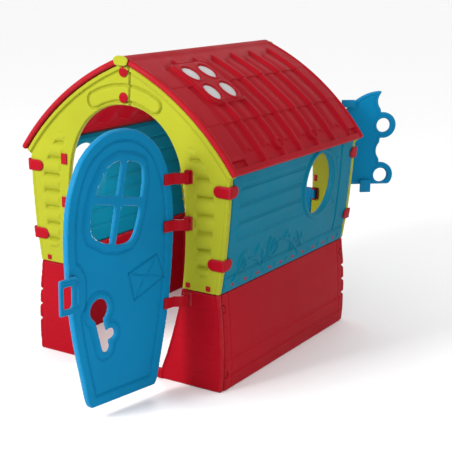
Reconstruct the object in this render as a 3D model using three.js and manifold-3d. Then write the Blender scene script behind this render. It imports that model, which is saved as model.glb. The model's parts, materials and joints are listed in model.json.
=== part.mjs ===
// Garden playhouse for small children: moulded wall panels, two curved roof panels, an egg-shaped
// front door, a half-door at the back and a pair of interlocking window shutters.
//
// Millimetres, +Z up. The house stands on the ground with its front door towards -Y. The front and
// back walls come from the same mould, turned half a turn about Z, and so do the two sides of the roof.
import * as THREE from 'three';
import * as BufferGeometryUtils from 'three/addons/utils/BufferGeometryUtils.js';
import Module from 'manifold-3d';

const wasm = await Module();
wasm.setup();

// ---------------------------------------------------------------- driving dimensions
const WALL_Y = 462;              // outer face of the front and back walls
const WALL = 20;                 // wall panel thickness
const WAIST_Z = 340;             // joint between the base and the upper walls
const GAP = 0.3;                 // space between touching panels
const SILL_Z = 33;               // top of the threshold

// Half-width of the house at a height: [z, x]
const BASE_CORNER = [[0, 392], [50, 396], [150, 396], [250, 390], [300, 383], [340, 379]];
const WALL_CORNER = [[340, 381], [400, 390], [450, 399], [520, 406], [620, 414], [735, 420]];
const WALL_TOP_Z = 738;          // top of the side walls' outer face, under the roof
const EAR = { x: 432, z: 737 };  // corner of the gable under the eave

// Half-width of the egg-shaped doorway at a height: [z, x]
const DOORWAY = [[33, 150], [100, 175], [200, 205], [300, 229], [400, 241], [520, 246], [640, 242],
  [740, 228], [820, 196], [880, 148], [922, 78]];
const DOORWAY_TOP = 935;

const ROOF_ARC = { x: -333.5, z: 201.7, radius: 957 };  // axis and outer radius of the right-hand roof
const ROOF_THICKNESS = 20;
const UNDER_ROOF = ROOF_THICKNESS + 1;  // depth below the roof's outer face at which the walls end
const ROOF_Y = 476;              // half the length of the ridge
const EAVE_ANGLE = THREE.MathUtils.degToRad(35.1);
const ROOF_STEPS = 10;
const KNOB = { neck: 21, shoulder: 31, neckZ: 1067, shoulderZ: 1085, crown: 7, depth: 7 };
const KNOB_TOP = { front: 1100, back: 1092 };
const KNOB_STEM = { halfWidth: 14, z: [1065.2, 1070.8] };
const SEAM_X = 23;               // joint between the two halves of a gable

const SKYLIGHT = {
  y: [-265, -165], arc: [151, 253], radiusAlong: 32, radiusDown: 37, sheet: 3, margin: 28, play: 0.4, sunk: 3,
};
const WINDOW = { y: 175, z: 612, radiusY: 110, radiusZ: 114 };

const HINGE_X = 262;             // upright hinge lines beside the openings
const HINGE_OUT = 14;            // distance from a wall face to the hinge line
const HINGE_Z = [725, 570, 310];
const LEAF_IN = 20;              // distance from the hinge line to the face of a closed leaf
const STRAP = { height: 36, length: 86, thickness: 7, barrel: 9, bore: 4.5, heel: [14, 26], bend: [30, 44] };
const STRAP_SLOPE = { shoulder: 3, waist: 6, bend: 2 };  // how far the strap's neck steps in between its ends
const BRACKET = { ear: 4.5, clearance: 0.5, pin: 4, plate: 4, near: 12, far: 15 };
const SLOT = { width: 14, height: 26, gap: 0.5, proud: 3 };
const PLUG = { width: 26, height: 38, thickness: 4 };

const DOOR_OPEN = THREE.MathUtils.degToRad(80);
const SHUTTER_OPEN = THREE.MathUtils.degToRad(138);
const DOOR_THICKNESS = 23;
const SHUTTER_THICKNESS = 20;
const HALF_DOOR = { top: 526, thickness: 14, clearance: 4 };
const SHUTTER_BOTTOM = 530;

const CLIP = { height: 40, front: 60, side: 46, thickness: 6, stand: 0.6 };
const CLIP_Z = [688, 440, 288, 58];
const CLIP_BUTTON = { along: 27, radiusY: 7, radiusZ: 13, proud: 2.5 };
const CAP = { radius: 18, top: 13.5, height: 6, shank: 7, play: 0.5, proud: 3, z: [1046, 960] };
const CURVE_STEPS = 3;           // straight pieces between two points of a smooth outline

const FAR = 1000;                // farther than any part of the house reaches
const THROUGH = 1;               // how far a cut runs past the surfaces it cuts, or a join runs into them
const SEAT = 4;                  // how deep a raised tab is rooted in its leaf
const ROUND = 20;                // sides of a round piece
const SMALL_ROUND = 16;          // sides of a small round piece
const LARGE_ROUND = 28;          // sides of a large round piece
const END_SIDES = 6;             // straight pieces in a quarter of a small round end
const ROUGHNESS = 0.42;
const CLEAR = { transparent: true, opacity: 0.6 };

const COLOURS = {
  red: 0xbe1928,
  yellow: 0xcdd23c,
  blue: 0x008cc3,
  wallBlue: 0x0082a8,
  skylight: 0xcfcfd2,
  lime: 0xa8c83c,
};

const LEVEL_NAMES = ['upper', 'middle', 'lower'];
const CLIP_LEVELS = ['top', 'high', 'low', 'bottom'];
const CORNERS = [
  { name: 'front_right', side: 1, end: -1, colour: 'red' },
  { name: 'front_left', side: -1, end: -1, colour: 'red' },
  { name: 'back_right', side: 1, end: 1, colour: 'blue' },
  { name: 'back_left', side: -1, end: 1, colour: 'blue' },
];
const AXIS_Y = WALL_Y + HINGE_OUT;

// Half-width of the front door, and of the closed pair of shutters, at a height: [z, x]
const LEAF_OUTLINE = [[39, 137], [55, 148], [130, 166], [230, 188], [320, 204], [400, 214], [480, 221],
  [570, 224], [650, 221], [720, 209], [780, 188], [830, 160], [873, 113], [900, 60]];
const LEAF_TOP = 908;

// The front door, drawn closed, in X and Z. The handle's w is measured inwards from the hinge line.
const DOOR_WINDOW = [[-122, 594], [-130, 625], [-121, 685], [-98, 740], [-60, 795], [-10, 812], [45, 803],
  [82, 786], [88, 745], [80, 690], [68, 630], [45, 570], [28, 552], [-12, 548], [-62, 559]];
const DOOR_BARS = [
  { from: [18, 840], to: [-46, 530], width: 24 },
  { from: [-150, 712], to: [110, 664], width: 28 },
];
const KEYHOLE = {
  discs: [[-100, 355, 37], [-56, 268, 19], [-75, 226, 16]],
  shank: [[-118, 330], [-84, 330], [-59, 226], [-91, 226]],
};
const HANDLE = {
  x: [-268, -200], z: [376, 488], holeX: [-252, -220], holeZ: [395, 464], w: [3, 13.4], bridgeX: -212,
  notchX: -187, notchZ: [391, 468],
};

// Shutters, drawn closed: u is measured from the hinge line along the leaf and w inwards from it.
const RIGHT_LOBES = { reach: 52, hole: 29, at: [[-2, 770], [2, 567]] };
const LEFT_LOBES = { reach: 43, hole: 25, at: [[-22, 868], [-22, 668]] };
const SHUTTER_EDGE = 11;         // distance of a shutter's straight free edge from the middle
const LOBE_GAP = 4;
const SHUTTER_STOP = { z: [845, 875], u: [82, 135], deepU: 112, w: [5, 13.4] };
const SHUTTER_TAB = { z: [500, 550], w: [5, 13.4], seatZ: 536 };
const RIGHT_TAB = { x: [46, 90], seatX: [46, 90] };
const LEFT_TAB = { x: [-77, -20], seatX: [-77, -57] };
const HOOK_MOUTH = { from: [-22, 868], to: [40, 905], width: 30 };

const HALF_AXIS_Y = WALL_Y - WALL - HINGE_OUT;
const HALF_HINGES = [{ name: 'upper', z: 508, peg: false }, { name: 'lower', z: 310, peg: true }];
const STRAP_SET_IN = 0.5;        // sinks a strap into the half-door, with which it is one piece
const HALF_TAB = { x: [-275, -225], z: [498, 524], w: [6, 13.4], seatX: -236 };
const LATCH = { width: 20, height: 42, button: 6, tongue: 5, spindle: 6, reach: 56 };

// ---------------------------------------------------------------- solids
function toSolid(geometry) {
  const bare = geometry.clone();
  bare.deleteAttribute('normal');
  bare.deleteAttribute('uv');
  const merged = BufferGeometryUtils.mergeVertices(bare, 1e-4);
  return new wasm.Manifold(new wasm.Mesh({
    numProp: 3,
    vertProperties: Float32Array.from(merged.attributes.position.array),
    triVerts: Uint32Array.from(merged.index.array),
  }));
}

function toGeometry(solid) {
  const mesh = solid.getMesh();
  const geometry = new THREE.BufferGeometry();
  geometry.setAttribute('position', new THREE.BufferAttribute(mesh.vertProperties, 3));
  geometry.setIndex(new THREE.BufferAttribute(mesh.triVerts, 1));
  geometry.computeVertexNormals();
  return geometry;
}

// A shape drawn in X and Z, filling y from `near` to `far`.
function panel(shape, near, far) {
  const geometry = new THREE.ExtrudeGeometry(shape, {
    depth: far - near, bevelEnabled: false, curveSegments: END_SIDES,
  });
  geometry.rotateX(Math.PI / 2);
  geometry.translate(0, far, 0);
  return toSolid(geometry);
}

function block(x0, x1, y0, y1, z0, z1) {
  const geometry = new THREE.BoxGeometry(x1 - x0, y1 - y0, z1 - z0);
  geometry.translate((x0 + x1) / 2, (y0 + y1) / 2, (z0 + z1) / 2);
  return toSolid(geometry);
}

function upright(radius, z0, z1, sides = ROUND) {
  const geometry = new THREE.CylinderGeometry(radius, radius, z1 - z0, sides);
  geometry.rotateX(Math.PI / 2);
  geometry.translate(0, 0, (z0 + z1) / 2);
  return toSolid(geometry);
}

function polygon(points) {
  return new THREE.Shape(points.map(([x, z]) => new THREE.Vector2(x, z)));
}

// A smooth line through points, as a list of points.
function smooth(points, closed = false) {
  const vectors = points.map(([x, z]) => new THREE.Vector3(x, 0, z));
  const curve = new THREE.CatmullRomCurve3(vectors, closed, 'centripetal');
  const count = (closed ? points.length : points.length - 1) * CURVE_STEPS;
  const line = curve.getPoints(count).map((p) => [p.x, p.z]);
  return closed ? line.slice(0, -1) : line;
}

function ellipse(x, z, radiusX, radiusZ) {
  const shape = new THREE.Shape();
  shape.absellipse(x, z, radiusX, radiusZ, 0, Math.PI * 2, false);
  return shape;
}

// ---------------------------------------------------------------- outlines
function halfWidthAt(line, z) {
  const next = Math.max(1, line.findIndex(([height]) => height >= z));
  const [z0, x0] = line[next - 1];
  const [z1, x1] = line[next];
  return x0 + (x1 - x0) * (z - z0) / (z1 - z0);
}

// The egg of the doorway, made smaller all round by `inset`.
function doorwayShape(inset = 0) {
  const right = DOORWAY.map(([z, x]) => [x - inset, z === SILL_Z ? z + inset : z]);
  const left = right.map(([x, z]) => [-x, z]).reverse();
  return polygon(smooth([...right, [0, DOORWAY_TOP - inset], ...left]));
}

function roofPoint(angle, inset = 0) {
  const radius = ROOF_ARC.radius - inset;
  return [ROOF_ARC.x + radius * Math.cos(angle), ROOF_ARC.z + radius * Math.sin(angle)];
}

// Angle of the roof arc where it reaches a distance from the ridge.
function roofAngle(x, inset = 0) {
  return Math.acos((x - ROOF_ARC.x) / (ROOF_ARC.radius - inset));
}

function roofLine(fromX, inset) {
  const start = roofAngle(fromX, inset);
  const line = [];
  for (let i = 0; i <= ROOF_STEPS; i += 1) {
    line.push(roofPoint(start + (EAVE_ANGLE - start) * i / ROOF_STEPS, inset));
  }
  return line;
}

// ---------------------------------------------------------------- front and back walls
function cornerOutline(corner, bottom, top) {
  return corner.map(([z, x]) => [x, THREE.MathUtils.clamp(z, bottom, top)]);
}

function slotHoles(solid) {
  let cut = solid;
  for (const side of [-1, 1]) {
    for (const z of HINGE_Z) {
      const x = side * HINGE_X;
      const hole = block(x - SLOT.width / 2, x + SLOT.width / 2, -WALL_Y - THROUGH, -WALL_Y + WALL + THROUGH,
        z - SLOT.height / 2, z + SLOT.height / 2);
      cut = cut.subtract(hole);
    }
  }
  return cut;
}

function endBase() {
  const right = cornerOutline(BASE_CORNER, 0, WAIST_Z - GAP / 2);
  const left = right.map(([x, z]) => [-x, z]).reverse();
  const wall = panel(polygon([...right, ...left]), -WALL_Y, -WALL_Y + WALL);
  const opening = panel(doorwayShape(), -WALL_Y - THROUGH, -WALL_Y + WALL + THROUGH);
  return slotHoles(wall.subtract(opening));
}

function endGable() {
  const corner = cornerOutline(WALL_CORNER, WAIST_Z + GAP / 2, WALL_TOP_Z);
  const underRoof = roofLine(0, UNDER_ROOF).reverse();
  const right = [...corner, [EAR.x, EAR.z], ...underRoof];
  const left = right.map(([x, z]) => [-x, z]).reverse().slice(1);
  const wall = panel(polygon([...right, ...left]), -WALL_Y, -WALL_Y + WALL);
  const opening = panel(doorwayShape(), -WALL_Y - THROUGH, -WALL_Y + WALL + THROUGH);
  return slotHoles(wall.subtract(opening));
}

// The knob stands in front of the roof's end, on a stem that passes under the roof.
function ridgeKnob(top) {
  const { neck, shoulder, neckZ, shoulderZ, crown, depth } = KNOB;
  const shape = new THREE.Shape();
  shape.moveTo(-neck, neckZ);
  shape.lineTo(neck, neckZ);
  shape.lineTo(shoulder, shoulderZ);
  shape.quadraticCurveTo(shoulder - crown, top, 0, top);
  shape.quadraticCurveTo(-shoulder + crown, top, -shoulder, shoulderZ);
  shape.closePath();
  const back = -ROOF_Y - GAP;
  const { halfWidth, z } = KNOB_STEM;
  const stem = block(-halfWidth, halfWidth, back - THROUGH, -WALL_Y + THROUGH, ...z);
  return panel(shape, back - depth, back).add(stem);
}

function capShankHole(z) {
  const radius = CAP.shank + CAP.play;
  const geometry = new THREE.CylinderGeometry(radius, radius, WALL * 2, SMALL_ROUND);
  geometry.translate(0, -WALL_Y + WALL / 2, z);
  return toSolid(geometry);
}

// The left half reaches past the middle and carries the knob that covers the end of the ridge.
function gableHalves(knobTop) {
  const whole = endGable();
  const leftSpace = block(-FAR, SEAM_X - GAP / 2, -FAR, FAR, 0, 2 * FAR);
  const rightSpace = block(SEAM_X + GAP / 2, FAR, -FAR, FAR, 0, 2 * FAR);
  let left = whole.intersect(leftSpace).add(ridgeKnob(knobTop));
  const right = whole.intersect(rightSpace);
  for (const z of CAP.z) {
    left = left.subtract(capShankHole(z));
  }
  return { left, right };
}

// ---------------------------------------------------------------- side walls
function sideSolid(corner, top) {
  const inner = corner.map(([x, z]) => [x - WALL, z]).reverse();
  const half = WALL_Y - WALL - GAP;
  return panel(polygon([...corner, ...top, ...inner]), -half, half);
}

function sideBase() {
  return sideSolid(cornerOutline(BASE_CORNER, 0, WAIST_Z - GAP / 2), []);
}

// The top edge follows the underside of the roof.
function sideWall() {
  const corner = cornerOutline(WALL_CORNER, WAIST_Z + GAP / 2, WALL_TOP_Z);
  const outerX = corner[corner.length - 1][0];
  const top = [outerX, outerX - WALL].map((x) => roofPoint(roofAngle(x, UNDER_ROOF), UNDER_ROOF));
  const opening = new THREE.ExtrudeGeometry(ellipse(WINDOW.y, WINDOW.z, WINDOW.radiusY, WINDOW.radiusZ), {
    depth: 2 * WALL_Y, bevelEnabled: false, curveSegments: LARGE_ROUND / 2,
  });
  opening.rotateX(Math.PI / 2);
  opening.rotateZ(Math.PI / 2);
  return sideSolid(corner, top).subtract(toSolid(opening));
}

// ---------------------------------------------------------------- roof
function roofSheet(outerInset, innerInset, fromX, halfLength) {
  const outer = roofLine(fromX, outerInset);
  const inner = roofLine(fromX, innerInset).reverse();
  return panel(polygon([...outer, ...inner]), -halfLength, halfLength);
}

// A straight oval core through the roof at a point of the slope, square to the surface.
function skylightCore(y, arcLength, grow, outside, inside) {
  const geometry = new THREE.CylinderGeometry(1, 1, outside + inside, ROUND);
  geometry.scale(SKYLIGHT.radiusDown + grow, 1, SKYLIGHT.radiusAlong + grow);
  geometry.translate(0, (outside - inside) / 2, 0);
  geometry.rotateX(Math.PI / 2);
  const angle = roofAngle(0) - arcLength / ROOF_ARC.radius;
  geometry.rotateY(Math.PI / 2 - angle);
  const [x, z] = roofPoint(angle);
  return toSolid(geometry).translate([x, y, z]);
}

function eachPane(action) {
  for (const y of SKYLIGHT.y) {
    for (const arcLength of SKYLIGHT.arc) {
      action(y, arcLength);
    }
  }
}

function roofPanel() {
  let roof = roofSheet(0, ROOF_THICKNESS, GAP / 2, ROOF_Y);
  eachPane((y, arcLength) => {
    roof = roof.subtract(skylightCore(y, arcLength, GAP, 2 * ROOF_THICKNESS, 2 * ROOF_THICKNESS));
  });
  return roof;
}

// One clear moulding: a curved sheet under the roof with four raised lenses that fill its holes.
function skylightLens() {
  const top = ROOF_THICKNESS + SKYLIGHT.play;
  const sheet = roofSheet(top, top + SKYLIGHT.sheet, GAP, ROOF_Y);
  const first = SKYLIGHT.arc[0] - SKYLIGHT.radiusDown - SKYLIGHT.margin;
  const last = SKYLIGHT.arc[1] + SKYLIGHT.radiusDown + SKYLIGHT.margin;
  const reach = SKYLIGHT.radiusAlong + SKYLIGHT.margin;
  const [highX] = roofPoint(roofAngle(0) - first / ROOF_ARC.radius, top);
  const [lowX] = roofPoint(roofAngle(0) - last / ROOF_ARC.radius, top);
  const trim = block(highX, lowX, SKYLIGHT.y[0] - reach, SKYLIGHT.y[1] + reach, 0, 2 * FAR);
  let lens = sheet.intersect(trim);
  eachPane((y, arcLength) => {
    lens = lens.add(skylightCore(y, arcLength, 0, -SKYLIGHT.sunk, top + SKYLIGHT.sheet - THROUGH));
  });
  return lens;
}

// ---------------------------------------------------------------- hinges
// Hinge frame: the hinge line is the Z axis, a closed leaf runs towards -X, and +Y goes through the wall.
function hingeStrap() {
  const { thickness, length, barrel, height, bore, heel, bend } = STRAP;
  const near = LEAF_IN - thickness - GAP;
  const far = near + thickness;
  const { shoulder, waist, bend: overlap } = STRAP_SLOPE;
  const outline = polygon([
    [0, barrel], [-heel[0], barrel - shoulder], [-bend[0], 1], [-bend[1] - overlap, -near], [-length, -near],
    [-length, -far], [-bend[1], -far], [-heel[1], barrel - thickness - waist], [0, barrel - thickness],
  ].reverse());
  const geometry = new THREE.ExtrudeGeometry(outline, { depth: height, bevelEnabled: false });
  geometry.rotateX(Math.PI);
  geometry.translate(0, 0, height / 2);
  const half = height / 2;
  const pinHole = upright(bore, -half - THROUGH, half + THROUGH, SMALL_ROUND);
  return toSolid(geometry).add(upright(barrel, -half, half)).subtract(pinHole);
}

// A plate on the wall with two ears and a pin between them; the peg goes through the slot in the wall.
function hingeBracket(withPeg) {
  const half = STRAP.height / 2 + BRACKET.clearance;
  const tall = half + BRACKET.ear;
  const plateFar = HINGE_OUT - GAP;
  let bracket = block(-BRACKET.near, BRACKET.far, plateFar - BRACKET.plate, plateFar, -tall, tall);
  for (const z of [-tall, half]) {
    const ear = upright(STRAP.barrel, z, z + BRACKET.ear);
    bracket = bracket.add(ear).add(block(-STRAP.barrel, STRAP.barrel, 0, plateFar, z, z + BRACKET.ear));
  }
  bracket = bracket.add(upright(BRACKET.pin, -tall, tall, SMALL_ROUND));
  if (withPeg) {
    bracket = bracket.add(slotPeg(plateFar - THROUGH));
  }
  return bracket;
}

function slotPeg(from) {
  const x = SLOT.width / 2 - SLOT.gap;
  const z = SLOT.height / 2 - SLOT.gap;
  return block(-x, x, from, HINGE_OUT + WALL + SLOT.proud, -z, z);
}

function slotPlug() {
  const far = HINGE_OUT - GAP;
  const halfWidth = PLUG.width / 2;
  const halfHeight = PLUG.height / 2;
  const head = block(-halfWidth, halfWidth, far - PLUG.thickness, far, -halfHeight, halfHeight);
  return head.add(slotPeg(far - THROUGH));
}

// ---------------------------------------------------------------- front door
function bar({ from, to, width }, near, far) {
  const dx = to[0] - from[0];
  const dz = to[1] - from[1];
  const length = Math.hypot(dx, dz);
  const geometry = new THREE.BoxGeometry(length, far - near, width);
  geometry.rotateY(-Math.atan2(dz, dx));
  geometry.translate((from[0] + to[0]) / 2, (near + far) / 2, (from[1] + to[1]) / 2);
  return toSolid(geometry);
}

function disc([x, z, radius], near, far, sides = ROUND) {
  const geometry = new THREE.CylinderGeometry(radius, radius, far - near, sides);
  geometry.translate(x, (near + far) / 2, z);
  return toSolid(geometry);
}

// Leaves are drawn closed, in the house frame, and moved to their hinge line afterwards.
function leafShape() {
  const right = LEAF_OUTLINE.map(([z, x]) => [x, z]);
  const left = right.map(([x, z]) => [-x, z]).reverse();
  return polygon(smooth([...right, [0, LEAF_TOP], ...left]));
}

function frontDoor() {
  const near = -AXIS_Y + LEAF_IN;
  const far = near + DOOR_THICKNESS;
  let door = panel(leafShape(), near, far);
  let panes = panel(polygon(smooth(DOOR_WINDOW, true)), near - THROUGH, far + THROUGH);
  for (const item of DOOR_BARS) {
    panes = panes.subtract(bar(item, near - 2 * THROUGH, far + 2 * THROUGH));
  }
  let keyhole = panel(polygon(KEYHOLE.shank), near - THROUGH, far + THROUGH);
  for (const item of KEYHOLE.discs) {
    keyhole = keyhole.add(disc(item, near - THROUGH, far + THROUGH, SMALL_ROUND));
  }
  const { notchX, notchZ, bridgeX } = HANDLE;
  const notch = block(-FAR, notchX, near - THROUGH, far + THROUGH, ...notchZ);
  door = door.subtract(panes).subtract(keyhole).subtract(notch);
  const [front, back] = HANDLE.w.map((w) => -AXIS_Y + w);
  const ring = block(...HANDLE.x, front, back, ...HANDLE.z);
  const grip = block(...HANDLE.holeX, front - THROUGH, back + THROUGH, ...HANDLE.holeZ);
  const bridge = block(bridgeX, HANDLE.x[1], back - THROUGH, near + THROUGH, ...HANDLE.z).subtract(notch);
  return door.add(ring.subtract(grip)).add(bridge);
}

// ---------------------------------------------------------------- shutters and half-door
function shutter(side) {
  const far = AXIS_Y - LEAF_IN;
  const near = far - SHUTTER_THICKNESS;
  const own = side > 0 ? RIGHT_LOBES : LEFT_LOBES;
  const other = side > 0 ? LEFT_LOBES : RIGHT_LOBES;
  const tab = side > 0 ? RIGHT_TAB : LEFT_TAB;
  const edges = side > 0 ? [SHUTTER_EDGE, FAR] : [-FAR, -SHUTTER_EDGE];
  const halfSpace = block(...edges, near, far, SHUTTER_BOTTOM, FAR);
  const egg = panel(leafShape(), near, far);
  let leaf = egg.intersect(halfSpace);
  for (const [x, z] of own.at) {
    leaf = leaf.add(disc([x, z, own.reach], near, far, LARGE_ROUND).intersect(egg));
  }
  for (const [x, z] of other.at) {
    leaf = leaf.subtract(disc([x, z, other.reach + LOBE_GAP], near - THROUGH, far + THROUGH, LARGE_ROUND));
  }
  for (const [x, z] of own.at) {
    leaf = leaf.subtract(disc([x, z, own.hole], near - THROUGH, far + THROUGH));
  }
  if (side < 0) {
    leaf = leaf.subtract(bar(HOOK_MOUTH, near - THROUGH, far + THROUGH));
  }
  leaf = leaf.intersect(block(-FAR, FAR, near, far, SHUTTER_BOTTOM, FAR));
  const { u, w, z, deepU } = SHUTTER_STOP;
  const between = (distances) => distances.map((d) => side * (HINGE_X - d)).sort((a, b) => a - b);
  const stopX = between(u);
  const seatX = between([deepU, u[1]]);
  leaf = leaf.add(block(...stopX, AXIS_Y - w[1], AXIS_Y - w[0], ...z));
  leaf = leaf.add(block(...seatX, far - SEAT, AXIS_Y - w[1] + THROUGH, ...z));
  const [tabFar, tabNear] = SHUTTER_TAB.w.map((distance) => AXIS_Y - distance);
  leaf = leaf.add(block(...tab.x, tabNear, tabFar, ...SHUTTER_TAB.z));
  return leaf.add(block(...tab.seatX, far - SEAT, tabNear + THROUGH, SHUTTER_TAB.seatZ, SHUTTER_TAB.z[1]));
}

function halfDoor() {
  const near = HALF_AXIS_Y + LEAF_IN;
  const far = near + HALF_DOOR.thickness;
  const egg = panel(doorwayShape(HALF_DOOR.clearance), near, far);
  let leaf = egg.intersect(block(-FAR, FAR, near, far, 0, HALF_DOOR.top));
  const tabY = HALF_TAB.w.map((w) => HALF_AXIS_Y + w);
  leaf = leaf.add(block(...HALF_TAB.x, ...tabY, ...HALF_TAB.z));
  return leaf.add(block(HALF_TAB.seatX, HALF_TAB.x[1], tabY[1] - THROUGH, near + SEAT, ...HALF_TAB.z));
}

// A button outside the wall and a tongue inside it, on one spindle. Upright it lets the half-door go.
function turnLatch() {
  const half = LATCH.width / 2;
  const button = block(-half, half, GAP, GAP + LATCH.button, -LATCH.height / 2, LATCH.height / 2);
  const spindle = disc([0, 0, LATCH.spindle], -WALL - GAP - THROUGH, GAP + THROUGH, SMALL_ROUND);
  const tongue = block(-half, half, -WALL - GAP - LATCH.tongue, -WALL - GAP, -half, LATCH.reach);
  return button.add(spindle).add(tongue);
}

// ---------------------------------------------------------------- corner clips and gable caps
// Corner frame: the house corner is the Z axis; +X is outwards from the side wall, +Y is into the house.
// A plate on the end wall, round at its inner end and square at `edge`.
function clipPlate(edge) {
  const { height, front, thickness } = CLIP;
  const r = height / 2;
  const shape = new THREE.Shape();
  shape.moveTo(edge, -r);
  shape.lineTo(edge, r);
  shape.lineTo(-front + r, r);
  shape.absarc(-front + r, 0, r, Math.PI / 2, Math.PI * 1.5, false);
  return panel(shape, -thickness - GAP, -GAP);
}

// The same plate, bent round the corner onto the side wall.
function cornerClip() {
  const { height, side, thickness } = CLIP;
  const r = height / 2;
  const shape = new THREE.Shape();
  shape.moveTo(-thickness, -r);
  shape.lineTo(side - r, -r);
  shape.absarc(side - r, 0, r, -Math.PI / 2, Math.PI / 2, false);
  shape.lineTo(-thickness, r);
  const geometry = new THREE.ExtrudeGeometry(shape, {
    depth: thickness, bevelEnabled: false, curveSegments: END_SIDES,
  });
  geometry.rotateX(Math.PI / 2);
  geometry.rotateZ(Math.PI / 2);
  geometry.translate(GAP, 0, 0);
  return clipPlate(thickness + GAP).add(toSolid(geometry));
}

// The rounded end of a hook that shows on the side of the base.
function clipButton() {
  const { along, radiusY, radiusZ, proud } = CLIP_BUTTON;
  const geometry = new THREE.CylinderGeometry(1, 1, proud, SMALL_ROUND);
  geometry.scale(radiusZ, 1, radiusY);
  geometry.rotateZ(Math.PI / 2);
  geometry.translate(GAP + proud / 2, along, 0);
  return toSolid(geometry);
}

function gableCap() {
  const { radius, top, height, shank, proud } = CAP;
  const profile = [[0, 0], [radius, 0], [radius, height / 2], [top, height], [0, height]];
  const geometry = new THREE.LatheGeometry(profile.map(([x, y]) => new THREE.Vector2(x, y)), ROUND);
  geometry.rotateX(Math.PI);
  geometry.translate(0, -GAP, 0);
  return toSolid(geometry).add(disc([0, 0, shank], -THROUGH, WALL + proud, SMALL_ROUND));
}

// ---------------------------------------------------------------- assembly
const house = new THREE.Group();

function material(colour, extra = {}) {
  return new THREE.MeshStandardMaterial({
    color: COLOURS[colour], roughness: ROUGHNESS, metalness: 0, ...extra,
  });
}

function piece(parent, name, geometry, colour, extra) {
  const mesh = new THREE.Mesh(geometry, material(colour, extra));
  mesh.name = name;
  parent.add(mesh);
  return mesh;
}

function groupAt(x, y, z, turnZ = 0) {
  const group = new THREE.Group();
  group.position.set(x, y, z);
  group.rotation.z = turnZ;
  house.add(group);
  return group;
}

const baseGeometry = toGeometry(endBase());
const frontGable = gableHalves(KNOB_TOP.front);
const backGable = gableHalves(KNOB_TOP.back);
const sides = { base: toGeometry(sideBase()), wall: toGeometry(sideWall()) };
const roofs = { panel: toGeometry(roofPanel()), lens: toGeometry(skylightLens()) };

piece(house, 'front_base', baseGeometry, 'red');
piece(house, 'back_base', baseGeometry, 'red').rotation.z = Math.PI;
piece(house, 'front_gable_left', toGeometry(frontGable.left), 'yellow');
piece(house, 'front_gable_right', toGeometry(frontGable.right), 'yellow');
piece(house, 'back_gable_right', toGeometry(backGable.left), 'yellow').rotation.z = Math.PI;
piece(house, 'back_gable_left', toGeometry(backGable.right), 'yellow').rotation.z = Math.PI;
for (const [side, turn] of [['right', 0], ['left', Math.PI]]) {
  piece(house, `side_base_${side}`, sides.base, 'red').rotation.z = turn;
  piece(house, `side_wall_${side}`, sides.wall, 'wallBlue').rotation.z = turn;
  piece(house, `roof_${side}`, roofs.panel, 'red').rotation.z = turn;
  piece(house, `skylight_${side}`, roofs.lens, 'skylight', CLEAR).rotation.z = turn;
}

const strapGeometry = toGeometry(hingeStrap());
const bracketGeometry = toGeometry(hingeBracket(true));
const plugGeometry = toGeometry(slotPlug());
// Front door with three strap hinges on the right, and plugs in the spare slots on the left.
const doorGroup = groupAt(HINGE_X, -AXIS_Y, 0, DOOR_OPEN);
piece(doorGroup, 'front_door', toGeometry(frontDoor().translate([-HINGE_X, AXIS_Y, 0])), 'blue');
HINGE_Z.forEach((z, i) => {
  const level = LEVEL_NAMES[i];
  piece(doorGroup, `door_strap_${level}`, strapGeometry, 'red').position.z = z;
  piece(house, `door_bracket_${level}`, bracketGeometry, 'red').position.set(HINGE_X, -AXIS_Y, z);
  piece(house, `slot_plug_${level}`, plugGeometry, 'red').position.set(-HINGE_X, -AXIS_Y, z);
});

// Shutters: the hinge parts are the same ones, turned about Z on the left and about X on the right.
for (const side of [-1, 1]) {
  const name = side > 0 ? 'right' : 'left';
  const leafGroup = groupAt(side * HINGE_X, AXIS_Y, 0, -side * SHUTTER_OPEN);
  const leaf = shutter(side).translate([-side * HINGE_X, -AXIS_Y, 0]);
  piece(leafGroup, `shutter_${name}`, toGeometry(leaf), 'blue');
  for (const level of [0, 1]) {
    const strap = piece(leafGroup, `shutter_strap_${name}_${LEVEL_NAMES[level]}`, strapGeometry, 'red');
    const bracket = piece(house, `shutter_bracket_${name}_${LEVEL_NAMES[level]}`, bracketGeometry, 'red');
    strap.position.z = HINGE_Z[level];
    bracket.position.set(side * HINGE_X, AXIS_Y, HINGE_Z[level]);
    for (const mesh of [strap, bracket]) {
      mesh.rotation.set(side > 0 ? Math.PI : 0, 0, side > 0 ? 0 : Math.PI);
    }
  }
}

// Half-door on hinges inside the back wall, with a turn latch on the other side.
const halfGroup = groupAt(HINGE_X, HALF_AXIS_Y, 0);
let halfLeaf = halfDoor().translate([-HINGE_X, -HALF_AXIS_Y, 0]);
for (const { name, z, peg } of HALF_HINGES) {
  const pinHole = upright(STRAP.bore, z - STRAP.height, z + STRAP.height, SMALL_ROUND);
  halfLeaf = halfLeaf.add(hingeStrap().translate([0, STRAP_SET_IN, z])).subtract(pinHole);
  const geometry = toGeometry(hingeBracket(peg));
  piece(house, `half_door_bracket_${name}`, geometry, 'red').position.set(HINGE_X, HALF_AXIS_Y, z);
}
piece(halfGroup, 'half_door', toGeometry(halfLeaf), 'blue');
piece(house, 'half_door_latch', toGeometry(turnLatch()), 'lime').position.set(-HINGE_X, WALL_Y, HINGE_Z[2]);

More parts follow.
